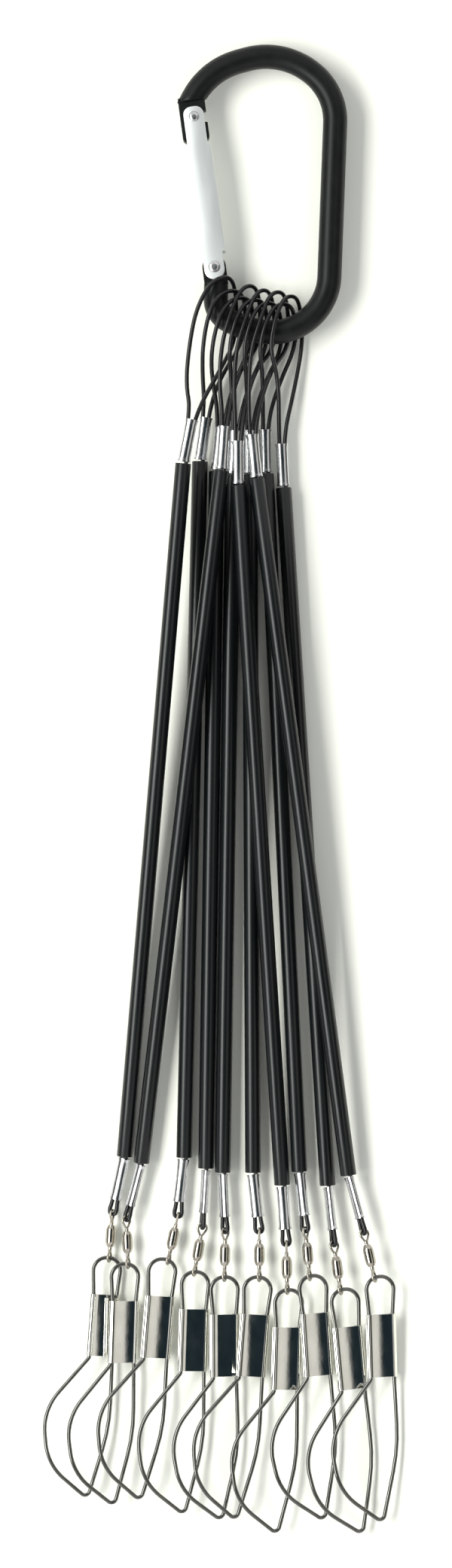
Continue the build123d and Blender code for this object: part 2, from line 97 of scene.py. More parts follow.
anodisedLook = dict(dark=(0.0026, 0.0034, 0.0036), light=(0.0050, 0.0060, 0.0062), metallic=0.0,
                    specular=0.22, roughness=(0.36, 0.42), blotchScale=260, grainScale=3200,
                    bump=0.05, bumpDepth=0.00005)
gateLook = dict(dark=(0.80, 0.82, 0.82), light=(0.86, 0.88, 0.88), roughness=(0.42, 0.48),
                blotchScale=180, grainScale=2600, stretch=(1, 1, 0.25),
                bump=0.12, bumpDepth=0.00004)
rivetLook = dict(dark=(0.50, 0.50, 0.50), light=(0.72, 0.72, 0.72), roughness=(0.18, 0.32),
                 blotchScale=500, grainScale=3000, bump=0.1, bumpDepth=0.00003)
springLook = dict(dark=(0.42, 0.42, 0.43), light=(0.6, 0.6, 0.6), roughness=(0.2, 0.35),
                  blotchScale=700, grainScale=3000, bump=0.1, bumpDepth=0.00003)
tubeLook = dict(dark=(0.0016, 0.0026, 0.0032), light=(0.0030, 0.0044, 0.0052), metallic=0.0,
                specular=0.42, roughness=(0.27, 0.32), blotchScale=420, grainScale=2200,
                stretch=(1, 1, 0.02), bump=0.03, bumpDepth=0.00004)
cordLook = dict(dark=(0.0036, 0.0030, 0.0044), light=(0.0062, 0.0056, 0.0072), metallic=0.0,
                specular=0.46, roughness=(0.18, 0.26), blotchScale=700, grainScale=2600,
                stretch=(1, 1, 0.3), bump=0.12, bumpDepth=0.00003)
crimpLook = dict(dark=(0.58, 0.58, 0.60), light=(0.70, 0.70, 0.715), roughness=(0.14, 0.24),
                 blotchScale=420, grainScale=620, stretch=(1, 1, 0.3),
                 bump=0.16, bumpDepth=0.00022)
nickelLook = dict(dark=(0.37, 0.34, 0.295), light=(0.50, 0.465, 0.41), roughness=(0.06, 0.13),
                  blotchScale=500, grainScale=1400, bump=0.08, bumpDepth=0.00004)
wireLook = dict(dark=(0.135, 0.132, 0.125), light=(0.19, 0.187, 0.18), roughness=(0.07, 0.15),
                blotchScale=360, grainScale=2400, stretch=(1, 1, 0.2),
                bump=0.1, bumpDepth=0.00003)
claspLook = dict(dark=(0.70, 0.69, 0.65), light=(0.80, 0.79, 0.75), roughness=(0.045, 0.1),
                 blotchScale=240, grainScale=330, stretch=(1, 1, 0.6),
                 bump=0.12, bumpDepth=0.00012)

anodised = finishOf("anodisedBlack", **anodisedLook)
gateSatin = finishOf("gateSatin", **gateLook)
rivetSteel = finishOf("rivetSteel", **rivetLook)
springSteel = finishOf("springSteel", **springLook)
tubeBlack = finishOf("tubeBlack", **tubeLook)
cordBlack = finishOf("cordBlack", **cordLook)
crimpBright = finishOf("crimpBright", **crimpLook)
nickelBright = finishOf("nickelBright", **nickelLook)
wireStainless = finishOf("wireStainless", **wireLook)
claspPolished = finishOf("claspPolished", **claspLook)
print("finishes made")


# Shaping tools

tiny = 1e-7  # metres; points closer than this are one point


def placeAt(origin, xDir, zDir):
    # z along zDir, x as near to xDir as that allows
    z = Vector(zDir).normalized()
    x = Vector(xDir)
    x = (x - z * x.dot(z)).normalized()
    place = Matrix((x, z.cross(x), z)).transposed().to_4x4()
    place.translation = origin
    return place


def moveTo(bm, place):
    bmesh.ops.transform(bm, matrix=place, verts=bm.verts)


def onlyVerts(geom):
    return [g for g in geom if isinstance(g, bmesh.types.BMVert)]


def onlyEdges(geom):
    return [g for g in geom if isinstance(g, bmesh.types.BMEdge)]


def roundOff(bm, geom, radius, segments, affect="EDGES"):
    bmesh.ops.bevel(bm, geom=geom, offset=radius, offset_type="OFFSET", segments=segments,
                    profile=0.5, affect=affect, material=-1)


def pullEdges(bm, edges, move):
    made = bmesh.ops.extrude_edge_only(bm, edges=edges)["geom"]
    fresh = set(onlyVerts(made))
    bmesh.ops.translate(bm, verts=list(fresh), vec=move)
    return [e for e in onlyEdges(made) if fresh.issuperset(e.verts)]


def latheOf(profile, steps, closed=False):
    # profile is (radius, height) pairs, spun about z
    bm = bmesh.new()
    verts = [bm.verts.new((radius, 0, height)) for radius, height in profile]
    ring = verts + verts[:1] if closed else verts
    edges = [bm.edges.new(pair) for pair in zip(ring, ring[1:])]
    bmesh.ops.spin(bm, geom=verts + edges, cent=(0, 0, 0), axis=(0, 0, 1), angle=2 * math.pi,
                   steps=steps, use_merge=True)
    bmesh.ops.remove_doubles(bm, verts=bm.verts, dist=tiny)
    bmesh.ops.recalc_face_normals(bm, faces=bm.faces)
    return bm


def bentWire(points, radii, wireRadius, sides, arcStep=7):
    # a round wire along straight runs and arcs, one radius for each corner; arcStep in degrees
    points = [Vector(p) for p in points]
    heading = (points[1] - points[0]).normalized()
    inDepth = abs(heading.y) > 0.9
    aside = Vector((1, 0, 0)) if inDepth else Vector((0, 1, 0))
    bm = bmesh.new()
    bmesh.ops.create_circle(bm, cap_ends=False, segments=sides, radius=wireRadius,
                            matrix=placeAt(points[0], aside, heading))
    ring = list(bm.edges)
    firstRing = list(ring)
    here = points[0]
    for corner, after, radius in zip(points[1:], points[2:], radii):
        leave = (after - corner).normalized()
        turn = heading.angle(leave)
        reach = radius * math.tan(turn / 2)
        arcStart = corner - heading * reach
        ring = pullEdges(bm, ring, arcStart - here)
        axis = heading.cross(leave).normalized()
        centre = arcStart + axis.cross(heading) * radius
        steps = max(2, math.ceil(turn / math.radians(arcStep)))
        verts = list({v for e in ring for v in e.verts})
        spun = bmesh.ops.spin(bm, geom=verts + ring, cent=centre, axis=axis, angle=turn,
                              steps=steps)
        ring = onlyEdges(spun["geom_last"])
        here = corner + leave * reach
        heading = leave
    ring = pullEdges(bm, ring, points[-1] - here)
    bmesh.ops.edgeloop_fill(bm, edges=ring)
    bmesh.ops.edgeloop_fill(bm, edges=firstRing)
    bmesh.ops.recalc_face_normals(bm, faces=bm.faces)
    return bm


def addTo(bm, other, place=None):
    if place is not None:
        moveTo(other, place)
    mesh = bpy.data.meshes.new("scratch")
    other.to_mesh(mesh)
    other.free()
    bm.from_mesh(mesh)
    bpy.data.meshes.remove(mesh)


def slabOf(outline, low, high, rounds, edgeRound, segments=5):
    # a flat plate: outline in x and y, from low to high along z, with some corners rounded
    bm = bmesh.new()
    verts = [bm.verts.new((x, y, low)) for x, y in outline]
    bm.faces.new(verts)
    for corners, radius in rounds:
        roundOff(bm, [verts[i] for i in corners], radius, segments, affect="VERTICES")
        verts = [v if v and v.is_valid else None for v in verts]
    made = bmesh.ops.extrude_face_region(bm, geom=list(bm.faces))["geom"]
    bmesh.ops.translate(bm, verts=onlyVerts(made), vec=(0, 0, high - low))
    bmesh.ops.recalc_face_normals(bm, faces=bm.faces)
    rims = [e for e in bm.edges if abs(e.verts[0].co.z - e.verts[1].co.z) < tiny]
    roundOff(bm, rims, edgeRound, segments=2)
    return bm


def pieceOf(name, bm, material, body, nodes, sharp=40):
    # sharp: edges that turn by more degrees than this stay crisp
    mesh = bpy.data.meshes.new(name)
    bm.to_mesh(mesh)
    bm.free()
    mesh.shade_smooth()
    mesh.set_sharp_from_angle(angle=math.radians(sharp))
    mesh.materials.append(material)
    piece = bpy.data.objects.new(name, mesh)
    bpy.context.scene.collection.objects.link(piece)
    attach(piece, body)
    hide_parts(*nodes)
    return piece


# Carabiner bar: bent round, milled square at the nose, with a flat tongue at both ends.
# The gate's place has x across the gate, y up it from the hinge, z to the front.

carabiner = dict(
    barRadius=0.004, sides=40, bendStep=4, rim=0.0005,
    hinge=(-0.0193, 0, -0.0654), gateTilt=7.72,
    noseEnd=0.0554, noseCut=0.0552, noseReach=0.016, hingeEnd=-0.0049,
    corners=[(-0.0215, 0, -0.0002), (0.0038, 0, 0.0065), (0.0209, 0, -0.0080),
             (0.0179, 0, -0.0880), (-0.0070, 0, -0.0862), (-0.0189, 0, -0.0809)],
    bends=[0.024, 0.024, 0.020, 0.019, 0.025, 0.008],
    tongueHalf=0.00225, tongueEdge=0.0002,
    noseTongue=[(-0.0045, 0.0416), (0.0043, 0.0416), (0.0043, 0.0476), (0.0004, 0.0485),
                (-0.0009, 0.0490), (-0.0013, 0.04985), (-0.0009, 0.0507), (0.0004, 0.0512),
                (0.0043, 0.0514), (0.0043, 0.0570), (-0.0045, 0.0564)],
    noseRounds=[((0, 1), 0.0016)],
    footTongue=[(-0.0039, -0.0059), (0.0039, -0.0059), (0.0039, 0.0039), (-0.0039, 0.0039)],
    footRounds=[((2, 3), 0.0038)], footSegments=8,
)
tilt = math.radians(carabiner["gateTilt"])
gateAcross = Vector((math.cos(tilt), 0, math.sin(tilt)))
gatePlace = placeAt(carabiner["hinge"], gateAcross, (0, -1, 0))


def millNose(bm, noseEnd):
    # cuts the bar off square to the gate and closes it
    verts = [v for v in bm.verts if (v.co - noseEnd).length < carabiner["noseReach"]]
    inside = set(verts).issuperset
    edges = [e for e in bm.edges if inside(e.verts)]
    faces = [f for f in bm.faces if inside(f.verts)]
    cut = gatePlace @ Vector((0, carabiner["noseCut"], 0))
    rim = bmesh.ops.bisect_plane(bm, geom=verts + edges + faces, plane_co=cut,
                                 plane_no=gatePlace.col[1].xyz, clear_inner=True)["geom_cut"]
    bmesh.ops.edgeloop_fill(bm, edges=onlyEdges(rim))
    bmesh.ops.recalc_face_normals(bm, faces=bm.faces)


def makeBar():
    radius = carabiner["barRadius"]
    half, edge = carabiner["tongueHalf"], carabiner["tongueEdge"]
    noseEnd = gatePlace @ Vector((0, carabiner["noseEnd"], 0))
    hingeEnd = gatePlace @ Vector((0, carabiner["hingeEnd"], 0))
    firstRun = (noseEnd - Vector(carabiner["corners"][0])).normalized()
    route = [noseEnd + firstRun * radius, *carabiner["corners"], hingeEnd]  # starts past the nose
    bm = bentWire(route, carabiner["bends"], radius, carabiner["sides"], carabiner["bendStep"])
    millNose(bm, noseEnd)
    ends = [f for f in bm.faces if len(f.verts) > 6]  # only the two caps have so many sides
    roundOff(bm, list({e for f in ends for e in f.edges}), carabiner["rim"], segments=3)
    nose = slabOf(carabiner["noseTongue"], -half, half, carabiner["noseRounds"], edge)
    addTo(bm, nose, gatePlace)
    foot = slabOf(carabiner["footTongue"], -half, half, carabiner["footRounds"], edge,
                  carabiner["footSegments"])
    addTo(bm, foot, gatePlace)
    pieceOf("carabinerBar", bm, anodised, "carabiner", ["carabiner_body"],
            sharp=18)


# Gate: two side walls, the web that joins them, and the stop for its spring

gate = dict(
    foot=-0.0041, head=0.0532, halfWidth=0.00335, fold=0.0044, webLow=0.0046, webHigh=0.0405,
    halfDepth=0.0034, sheet=0.0010, footRound=0.0031, headRound=0.0026, foldRound=0.0005,
    edge=0.00028, stopLow=0.0245, stopHigh=0.0254, stopReach=-0.0008,
    overlap=0.0002, innerEdge=0.0001,  # web and stop run into the walls by the overlap
    crown=0.00026, crownCuts=4, skin=0.0004,  # what lies within the skin is crowned
)


def crownGate(bm):
    # the rolled faces fall off a little to both sides
    middle = (gate["fold"] - gate["halfWidth"]) / 2
    reach = (gate["fold"] + gate["halfWidth"]) / 2
    cuts = gate["crownCuts"]
    for i in range(1 - cuts, cuts):
        geom = list(bm.verts) + list(bm.edges) + list(bm.faces)
        bmesh.ops.bisect_plane(bm, geom=geom, plane_co=(middle + reach * i / cuts, 0, 0),
                               plane_no=(1, 0, 0))
    for vert in bm.verts:
        if abs(vert.co.z) > gate["halfDepth"] - gate["skin"]:
            fall = gate["crown"] * ((vert.co.x - middle) / reach) ** 2
            vert.co.z -= math.copysign(fall, vert.co.z)


def makeGate():
    w, fold, overlap = gate["halfWidth"], gate["fold"], gate["overlap"]
    low, high = gate["webLow"], gate["webHigh"]
    wall = [(-w, gate["foot"]), (w, gate["foot"]), (w, low), (fold, low),
            (fold, high), (w, high), (w, gate["head"]), (-w, gate["head"])]
    rounds = [((0, 1), gate["footRound"]), ((6, 7), gate["headRound"]),
              ((3, 4), gate["foldRound"])]
    outside = gate["halfDepth"]
    inside = outside - gate["sheet"]
    bm = bmesh.new()
    addTo(bm, slabOf(wall, inside, outside, rounds, gate["edge"]))
    addTo(bm, slabOf(wall, -outside, -inside, rounds, gate["edge"]))
    web = [(w, low), (fold, low), (fold, high), (w, high)]
    stop = [(gate["stopReach"], gate["stopLow"]), (w + overlap, gate["stopLow"]),
            (w + overlap, gate["stopHigh"]), (gate["stopReach"], gate["stopHigh"])]
    for plate in (web, stop):
        addTo(bm, slabOf(plate, -inside - overlap, inside + overlap, [], gate["innerEdge"]))
    crownGate(bm)
    moveTo(bm, gatePlace)
    pieceOf("gateChannel", bm, gateSatin, "gate", ["carabiner_gate"], sharp=18)


# Rivets: the dome is in shares of the head's radius, with heights above its underside

rivets = dict(
    hinge=dict(shank=0.0013, head=0.0019, height=0, gap=0.00006),
    latch=dict(shank=0.0010, head=0.0017, height=0.04985, gap=0),
    dome=[(1, 0), (1, 0.00018), (0.93, 0.00042), (0.74, 0.00066), (0.46, 0.00078),
          (0.2, 0.0008), (0, 0.0008)],
    sides=36,
)


def makeRivet(name, rivet, body, node):
    # a shank with the same domed head at both ends
    start = gate["halfDepth"] + rivet["gap"]
    half = [(rivet["shank"], start)]
    half += [(rivet["head"] * share, start + rise) for share, rise in rivets["dome"]]
    bm = latheOf([(r, -h) for r, h in reversed(half)] + half, rivets["sides"])
    moveTo(bm, gatePlace @ Matrix.Translation((0, rivet["height"], 0)))
    pieceOf(name, bm, rivetSteel, body, [node], sharp=50)


# Plunger and spring, hidden in the gate's channel: the coil sits between collar and stop

plunger = dict(radius=0.00095, tip=0.00393, tipCurve=[(0, 0), (0.5, 0.00013), (0.87, 0.00048)],
               collar=0.0018, collarLow=0.0058, collarHigh=0.0066,
               end=0.0098, endEdge=0.0002, endShare=0.8, sides=28)
spring = dict(offset=0.00115, coilRadius=0.0014, wireRadius=0.0003, turns=4, stepsPerTurn=28,
              sides=10, clearance=0.00004)
channelPlace = gatePlace @ placeAt((spring["offset"], 0, 0), (1, 0, 0), (0, 1, 0))


def makePlunger():
    r, tip, end, collar = plunger["radius"], plunger["tip"], plunger["end"], plunger["collar"]
    low, high = plunger["collarLow"], plunger["collarHigh"]
    profile = [(r * share, tip + rise) for share, rise in plunger["tipCurve"]]
    profile += [(r, tip + r), (r, low), (collar, low), (collar, high), (r, high)]
    profile += [(r, end - plunger["endEdge"]), (r * plunger["endShare"], end), (0, end)]
    bm = latheOf(profile, plunger["sides"])
    moveTo(bm, channelPlace)
    pieceOf("springPlunger", bm, rivetSteel, "gate", ["spring_plunger"])


def makeSpring():
    # one ring of wire, screwed up the channel
    inset = spring["wireRadius"] + spring["clearance"]
    low = plunger["collarHigh"] + inset
    rise = gate["stopLow"] - inset - low
    steps = spring["turns"] * spring["stepsPerTurn"]
    bm = bmesh.new()
    start = placeAt((spring["coilRadius"], 0, low), (1, 0, 0), (0, -1, 0))
    bmesh.ops.create_circle(bm, cap_ends=False, segments=spring["sides"],
                            radius=spring["wireRadius"], matrix=start)
    first = list(bm.edges)
    spun = bmesh.ops.spin(bm, geom=list(bm.verts) + first, cent=(0, 0, 0), axis=(0, 0, 1),
                          dvec=(0, 0, rise / steps), angle=2 * math.pi * spring["turns"],
                          steps=steps)
    bmesh.ops.edgeloop_fill(bm, edges=onlyEdges(spun["geom_last"]))
    bmesh.ops.edgeloop_fill(bm, edges=first)
    bmesh.ops.recalc_face_normals(bm, faces=bm.faces)
    moveTo(bm, channelPlace)
    pieceOf("gateCoil", bm, springSteel, "gate", ["gate_spring"])


makeBar()
makeGate()
makeRivet("hingeRivet", rivets["hinge"], "carabiner", "gate_hinge_rivet")
makeRivet("latchRivet", rivets["latch"], "gate", "gate_latch_pin")
makeSpring()
makePlunger()
print("carabiner made")


# Droppers: how each one lies, in metres, with leans and turns in degrees

droppers = {
    "01": dict(tubeTop=(-0.0294, -0.0070, -0.1303), tubeLean=-4.9, lowDepth=0.0090, topLean=-11,
               lowLean=-12, swivelLean=-4, snapLean=-4, eyeTurn=20, grip=0.0005, gripDepth=0.0110),
    "02": dict(tubeTop=(-0.0168, -0.0070, -0.1327), tubeLean=-6.65, lowDepth=0.0060, topLean=-4,
               lowLean=-14.5, swivelLean=2, snapLean=-1.8, eyeTurn=50, grip=0.0009,
               gripDepth=0.0075),
    "03": dict(tubeTop=(-0.0240, 0.0030, -0.1290), tubeLean=-1.3, lowDepth=0.0045, topLean=-8,
               lowLean=-6.3, swivelLean=-12, snapLean=-4.5, eyeTurn=0, grip=0.0018,
               gripDepth=0.0040),
    "04": dict(tubeTop=(-0.0185, 0.0030, -0.1323), tubeLean=-0.87, lowDepth=0.0020, topLean=-6,
               lowLean=-3.5, swivelLean=-10, snapLean=-1.8, eyeTurn=70, grip=-0.0003,
               gripDepth=0.0010),
    "05": dict(tubeTop=(-0.0130, 0.0030, -0.1335), tubeLean=-0.87, lowDepth=0.0000, topLean=-3,
               lowLean=2.5, swivelLean=-1, snapLean=0.2, eyeTurn=45, grip=0.0000,
               gripDepth=-0.0020),
    "06": dict(tubeTop=(-0.0076, 0.0030, -0.1334), tubeLean=0.27, lowDepth=-0.0020, topLean=0,
               lowLean=6, swivelLean=0, snapLean=-4.4, eyeTurn=0, grip=0.0003, gripDepth=-0.0050),
    "07": dict(tubeTop=(-0.0114, -0.0070, -0.1376), tubeLean=3.6, lowDepth=-0.0050, topLean=0.2,
               lowLean=4, swivelLean=1, snapLean=-1.9, eyeTurn=0, grip=-0.0006, gripDepth=-0.0080),
    "08": dict(tubeTop=(-0.0022, 0.0030, -0.1331), tubeLean=2.7, lowDepth=-0.0060, topLean=1,
               lowLean=6, swivelLean=5, snapLean=3.7, eyeTurn=30, grip=-0.0009, gripDepth=-0.0115),
    "09": dict(tubeTop=(0.0036, 0.0030, -0.1378), tubeLean=3.57, lowDepth=-0.0080, topLean=2.8,
               lowLean=6, swivelLean=8, snapLean=5.2, eyeTurn=60, grip=-0.0012, gripDepth=-0.0140),
    "10": dict(tubeTop=(-0.0054, -0.0070, -0.1354), tubeLean=7.5, lowDepth=-0.0120, topLean=5.6,
               lowLean=15, swivelLean=13, snapLean=1.6, eyeTurn=60, grip=-0.0018,
               gripDepth=-0.0170),
}


# Cords: each runs from its tail in the top sleeve over the bar, down the tube, round a small eye

cord = dict(radius=0.0007, strandOffset=0.00074, past=0.0022, tailInset=0.0004, eyeStart=0.0002,
            resolution=14, roundness=4)
eyeLoop = dict(drop=0.0051, halfWidth=0.0015)

# the points over the bar, from the front strand to the back one
loops = {
    "01": [(-0.0286, -0.0066, -0.1040), (-0.0274, -0.0064, -0.0910), (-0.0250, -0.0064, -0.0790),
           (-0.0198, -0.0066, -0.0700), (-0.0134, -0.0038, -0.0684), (-0.0119, 0.0046, -0.0760),
           (-0.0122, 0.0060, -0.0885), (-0.0166, -0.0016, -0.0980)],
    "02": [(-0.0176, -0.0066, -0.1050), (-0.0170, -0.0064, -0.0920), (-0.0142, -0.0064, -0.0815),
           (-0.0103, -0.0050, -0.0722), (-0.0053, 0.0000, -0.0712), (-0.0040, 0.0056, -0.0790),
           (-0.0044, 0.0062, -0.0905), (-0.0113, -0.0022, -0.0995)],
    "03": [(-0.0232, -0.0004, -0.1000), (-0.0230, -0.0060, -0.0910), (-0.0210, -0.0064, -0.0805),
           (-0.0170, -0.0058, -0.0740), (-0.0108, -0.0005, -0.0728), (-0.0088, 0.0054, -0.0775),
           (-0.0096, 0.0062, -0.0890), (-0.0178, 0.0048, -0.1020)],
    "04": [(-0.0203, 0.0002, -0.1005), (-0.0200, -0.0060, -0.0915), (-0.0176, -0.0064, -0.0820),
           (-0.0140, -0.0050, -0.0764), (-0.0084, -0.0002, -0.0750), (-0.0064, 0.0055, -0.0785),
           (-0.0070, 0.0062, -0.0900), (-0.0132, 0.0048, -0.1040)],
    "05": [(-0.0138, -0.0004, -0.1010), (-0.0144, -0.0060, -0.0920), (-0.0122, -0.0064, -0.0825),
           (-0.0088, -0.0048, -0.0770), (-0.0036, 0.0002, -0.0758), (-0.0018, 0.0056, -0.0800),
           (-0.0018, 0.0062, -0.0910), (-0.0080, 0.0048, -0.1040)],
    "06": [(-0.0086, -0.0004, -0.1020), (-0.0096, -0.0060, -0.0925), (-0.0074, -0.0064, -0.0835),
           (-0.0043, -0.0048, -0.0779), (0.0007, 0.0004, -0.0769), (0.0028, 0.0056, -0.0810),
           (0.0032, 0.0062, -0.0915), (-0.0032, 0.0048, -0.1040)],
    "07": [(-0.0128, -0.0066, -0.1070), (-0.0122, -0.0064, -0.0930), (-0.0091, -0.0064, -0.0830),
           (-0.0055, -0.0046, -0.0736), (-0.0009, 0.0004, -0.0726), (0.0006, 0.0056, -0.0800),
           (0.0007, 0.0062, -0.0915), (-0.0067, -0.0022, -0.1000)],
    "08": [(-0.0032, 0.0000, -0.1020), (-0.0045, -0.0060, -0.0925), (-0.0026, -0.0064, -0.0845),
           (0.0006, -0.0048, -0.0782), (0.0054, 0.0004, -0.0772), (0.0074, 0.0056, -0.0805),
           (0.0078, 0.0062, -0.0905), (0.0018, 0.0048, -0.1040)],
    "09": [(0.0020, -0.0004, -0.1030), (-0.0010, -0.0060, -0.0925), (0.0005, -0.0064, -0.0835),
           (0.0035, -0.0048, -0.0756), (0.0078, 0.0004, -0.0746), (0.0094, 0.0056, -0.0795),
           (0.0100, 0.0062, -0.0900), (0.0072, 0.0048, -0.1050)],
    "10": [(-0.0080, -0.0066, -0.1070), (-0.0074, -0.0064, -0.0935), (-0.0043, -0.0064, -0.0835),
           (-0.0010, -0.0046, -0.0742), (0.0038, 0.0004, -0.0732), (0.0052, 0.0056, -0.0800),
           (0.0054, 0.0062, -0.0910), (-0.0012, -0.0022, -0.1000)],
}


def cordRoute(places, loop):
    end, side, past = sleeve["length"], cord["strandOffset"], cord["past"]

    def inUpper(x, z):
        return places["upperSleeve"] @ Vector((x, 0, z))

    def inLower(x, z):
        return places["lowerSleeve"] @ Vector((x, 0, z))

    tubeStart = inUpper(side, end + past)
    tubeEnd = inLower(side, -past)
    straight = (tubeEnd - tubeStart).normalized() * (end + 2 * past)
    half, bottom = eyeLoop["halfWidth"], end + eyeLoop["drop"]
    eyeTop = end + cord["eyeStart"]
    return [inUpper(-side, end - cord["tailInset"]), inUpper(-side, -past),
            *[Vector(p) for p in loop],
            inUpper(side, -past), tubeStart, tubeStart + straight, tubeEnd - straight, tubeEnd,
            inLower(side, eyeTop), inLower(half, bottom), inLower(-half, bottom),
            inLower(-side, eyeTop), inLower(-side, cord["tailInset"])]


def makeCord(number, places):
    name = "cordLine" + number
    route = cordRoute(places, loops[number])
    curve = bpy.data.curves.new(name, "CURVE")
    curve.dimensions = "3D"
    curve.resolution_u = cord["resolution"]
    line = curve.splines.new("NURBS")
    line.points.add(len(route) - 1)
    for point, spot in zip(line.points, route):
        point.co = (*spot, 1)
    line.order_u = 3
    line.use_endpoint_u = True
    holder = bpy.data.objects.new("cordHolder" + number, curve)
    thread = bpy.data.meshes.new_from_object(holder)
    path = [v.co.copy() for v in thread.vertices]
    bpy.data.meshes.remove(thread)
    curve.bevel_depth = cord["radius"]
    curve.bevel_resolution = cord["roundness"]
    curve.use_fill_caps = True
    mesh = bpy.data.meshes.new_from_object(holder)
    mesh.name = name
    bpy.data.objects.remove(holder)
    mesh.shade_smooth()
    mesh.materials.clear()
    mesh.materials.append(cordBlack)
    piece = bpy.data.objects.new(name, mesh)
    bpy.context.scene.collection.objects.link(piece)
    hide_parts("cord_" + number)
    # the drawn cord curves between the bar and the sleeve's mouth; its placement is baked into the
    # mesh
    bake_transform(piece)
    length = sum((b - a).length for a, b in zip(path, path[1:]))
    print("cord", number, "drawn length %.4f" % length)


# Tubes: plain, with softened rims

tube = dict(radius=0.0026, bore=0.0018, length=0.230, rim=0.00018, rimShare=0.3, sides=40)


def makeTube(number, places):
    r, b, end, rim = tube["radius"], tube["bore"], tube["length"], tube["rim"]
    ease = rim * tube["rimShare"]
    half = [(b, rim * 2), (b + rim, 0), (r - rim, 0), (r - ease, ease), (r, rim), (r, end * 0.25)]
    profile = half + [(r, end * 0.5)] + [(radius, end - h) for radius, h in reversed(half)]
    bm = latheOf(profile, tube["sides"], closed=True)
    moveTo(bm, places["tube"])
    pieceOf("tubeSleeve" + number, bm, tubeBlack, "dropper_" + number, ["tube_" + number],
            sharp=60)


# Crimp sleeves: oval, belled at both ends, a touch thinner in the middle.
# The lip is in shares of the flare, with distances from the sleeve's end.

sleeve = dict(length=0.014, gap=0.0006, wide=0.00196, deep=0.0013664, wall=0.00046,
              flare=0.00022, waist=0.00004, throat=0.0012, throatShare=0.6, sides=40,
              lip=[(1, 0.00002), (1.1, 0.00016), (0.8, 0.0005), (0.3, 0.0010), (0, 0.0016)])


def makeCrimps(number, places):
    w, end, bell = sleeve["wide"], sleeve["length"], sleeve["flare"]
    half = [(w + bell * share, h) for share, h in sleeve["lip"]] + [(w, end * 0.25)]
    outer = half + [(w - sleeve["waist"], end * 0.5)] + [(r, end - h) for r, h in reversed(half)]
    bore = w - sleeve["wall"]
    mouth = bore + bell * sleeve["throatShare"]
    inner = [(mouth, end), (bore, end - sleeve["throat"]), (bore, sleeve["throat"]), (mouth, 0)]
    both = bmesh.new()
    for spot in ("upperSleeve", "lowerSleeve"):
        bm = latheOf(outer + inner, sleeve["sides"], closed=True)
        bmesh.ops.scale(bm, verts=bm.verts, vec=(1, sleeve["deep"] / w, 1))
        addTo(both, bm, places[spot])
    pieceOf("crimpSleeves" + number, both, crimpBright, "dropper_" + number,
            ["sleeves_" + number], sharp=50)


# Barrel swivels: collar and barrel are (radius, height) profiles, the barrel's up to its middle

swivel = dict(
    barrelLength=0.0071, barrelRadius=0.00175, bore=0.00082, boreEdge=0.0002, boreLip=0.0006,
    sides=40,
    barrel=[(0.0009, 0.00002), (0.00112, 0), (0.00122, 0.00012), (0.00126, 0.00034),
            (0.00142, 0.00062), (0.00158, 0.00098), (0.00168, 0.0014), (0.00174, 0.0020)],
    eyeRadius=0.0015, eyeWire=0.0004, eyeReach=0.0036, eyeSlant=60, eyeFoot=0.00026,
    eyeBend=0.97, eyeSides=12, eyeTwist=20, play=0.00025,
    collar=[(0, 0.00205), (0.0005, 0.0021), (0.00072, 0.0024), (0.00062, 0.0027),
            (0.00074, 0.003), (0.00064, 0.00325), (0.00074, 0.0035), (0.00074, 0.0044),
            (0, 0.0044)],
    collarSides=20,
)


def eyeOf(place):
    # a drop-shaped wire eye, its collar, and the stem into the barrel
    r, foot = swivel["eyeRadius"], swivel["eyeFoot"]
    slant = math.tan(math.radians(swivel["eyeSlant"]))
    neck = 2 * r - foot * slant
    route = [(-foot, 0, neck), (-r * slant, 0, -r), (r * slant, 0, -r), (foot, 0, neck)]
    bend = r * swivel["eyeBend"]
    bm = bentWire(route, [bend, bend], swivel["eyeWire"], swivel["eyeSides"])
    addTo(bm, latheOf(swivel["collar"], swivel["collarSides"]))
    moveTo(bm, place)
    return bm


def makeSwivel(number, places):
    end, bore, lip = swivel["barrelLength"], swivel["bore"], swivel["boreLip"]
    half = [(bore, swivel["boreEdge"])] + swivel["barrel"]
    outer = half + [(swivel["barrelRadius"], end / 2)] + [(r, end - h) for r, h in reversed(half)]
    bm = latheOf(outer + [(bore, end - lip), (bore, lip)], swivel["sides"], closed=True)
    moveTo(bm, places["barrel"])
    addTo(bm, eyeOf(places["upperEye"]))
    pieceOf("swivelBarrel" + number, bm, nickelBright, "dropper_" + number,
            ["swivel_" + number], sharp=50)


# Snaps: one bent wire, and the swivel's lower eye; points are (across, up) from the loop's top

snap = dict(
    wireRadius=0.00065, sides=16, arcStep=5, legHalf=0.0039, loopHalf=0.0049, loopBend=0.0043,
    loopTurn=94.6, neck=0.0124, neckBend=0.006, turn=12, start=0.022, back=0.0265, corner=0.0334,
    spineDrop=0.0006, spineEnd=(0.0045, -0.0560), spineBend=0.06, tip=(-0.0012, -0.0802),
    bowLow=(-0.0153, -0.0695), bowHigh=(-0.0183, -0.0515), tipBend=0.0016, bowBend=0.018,
)


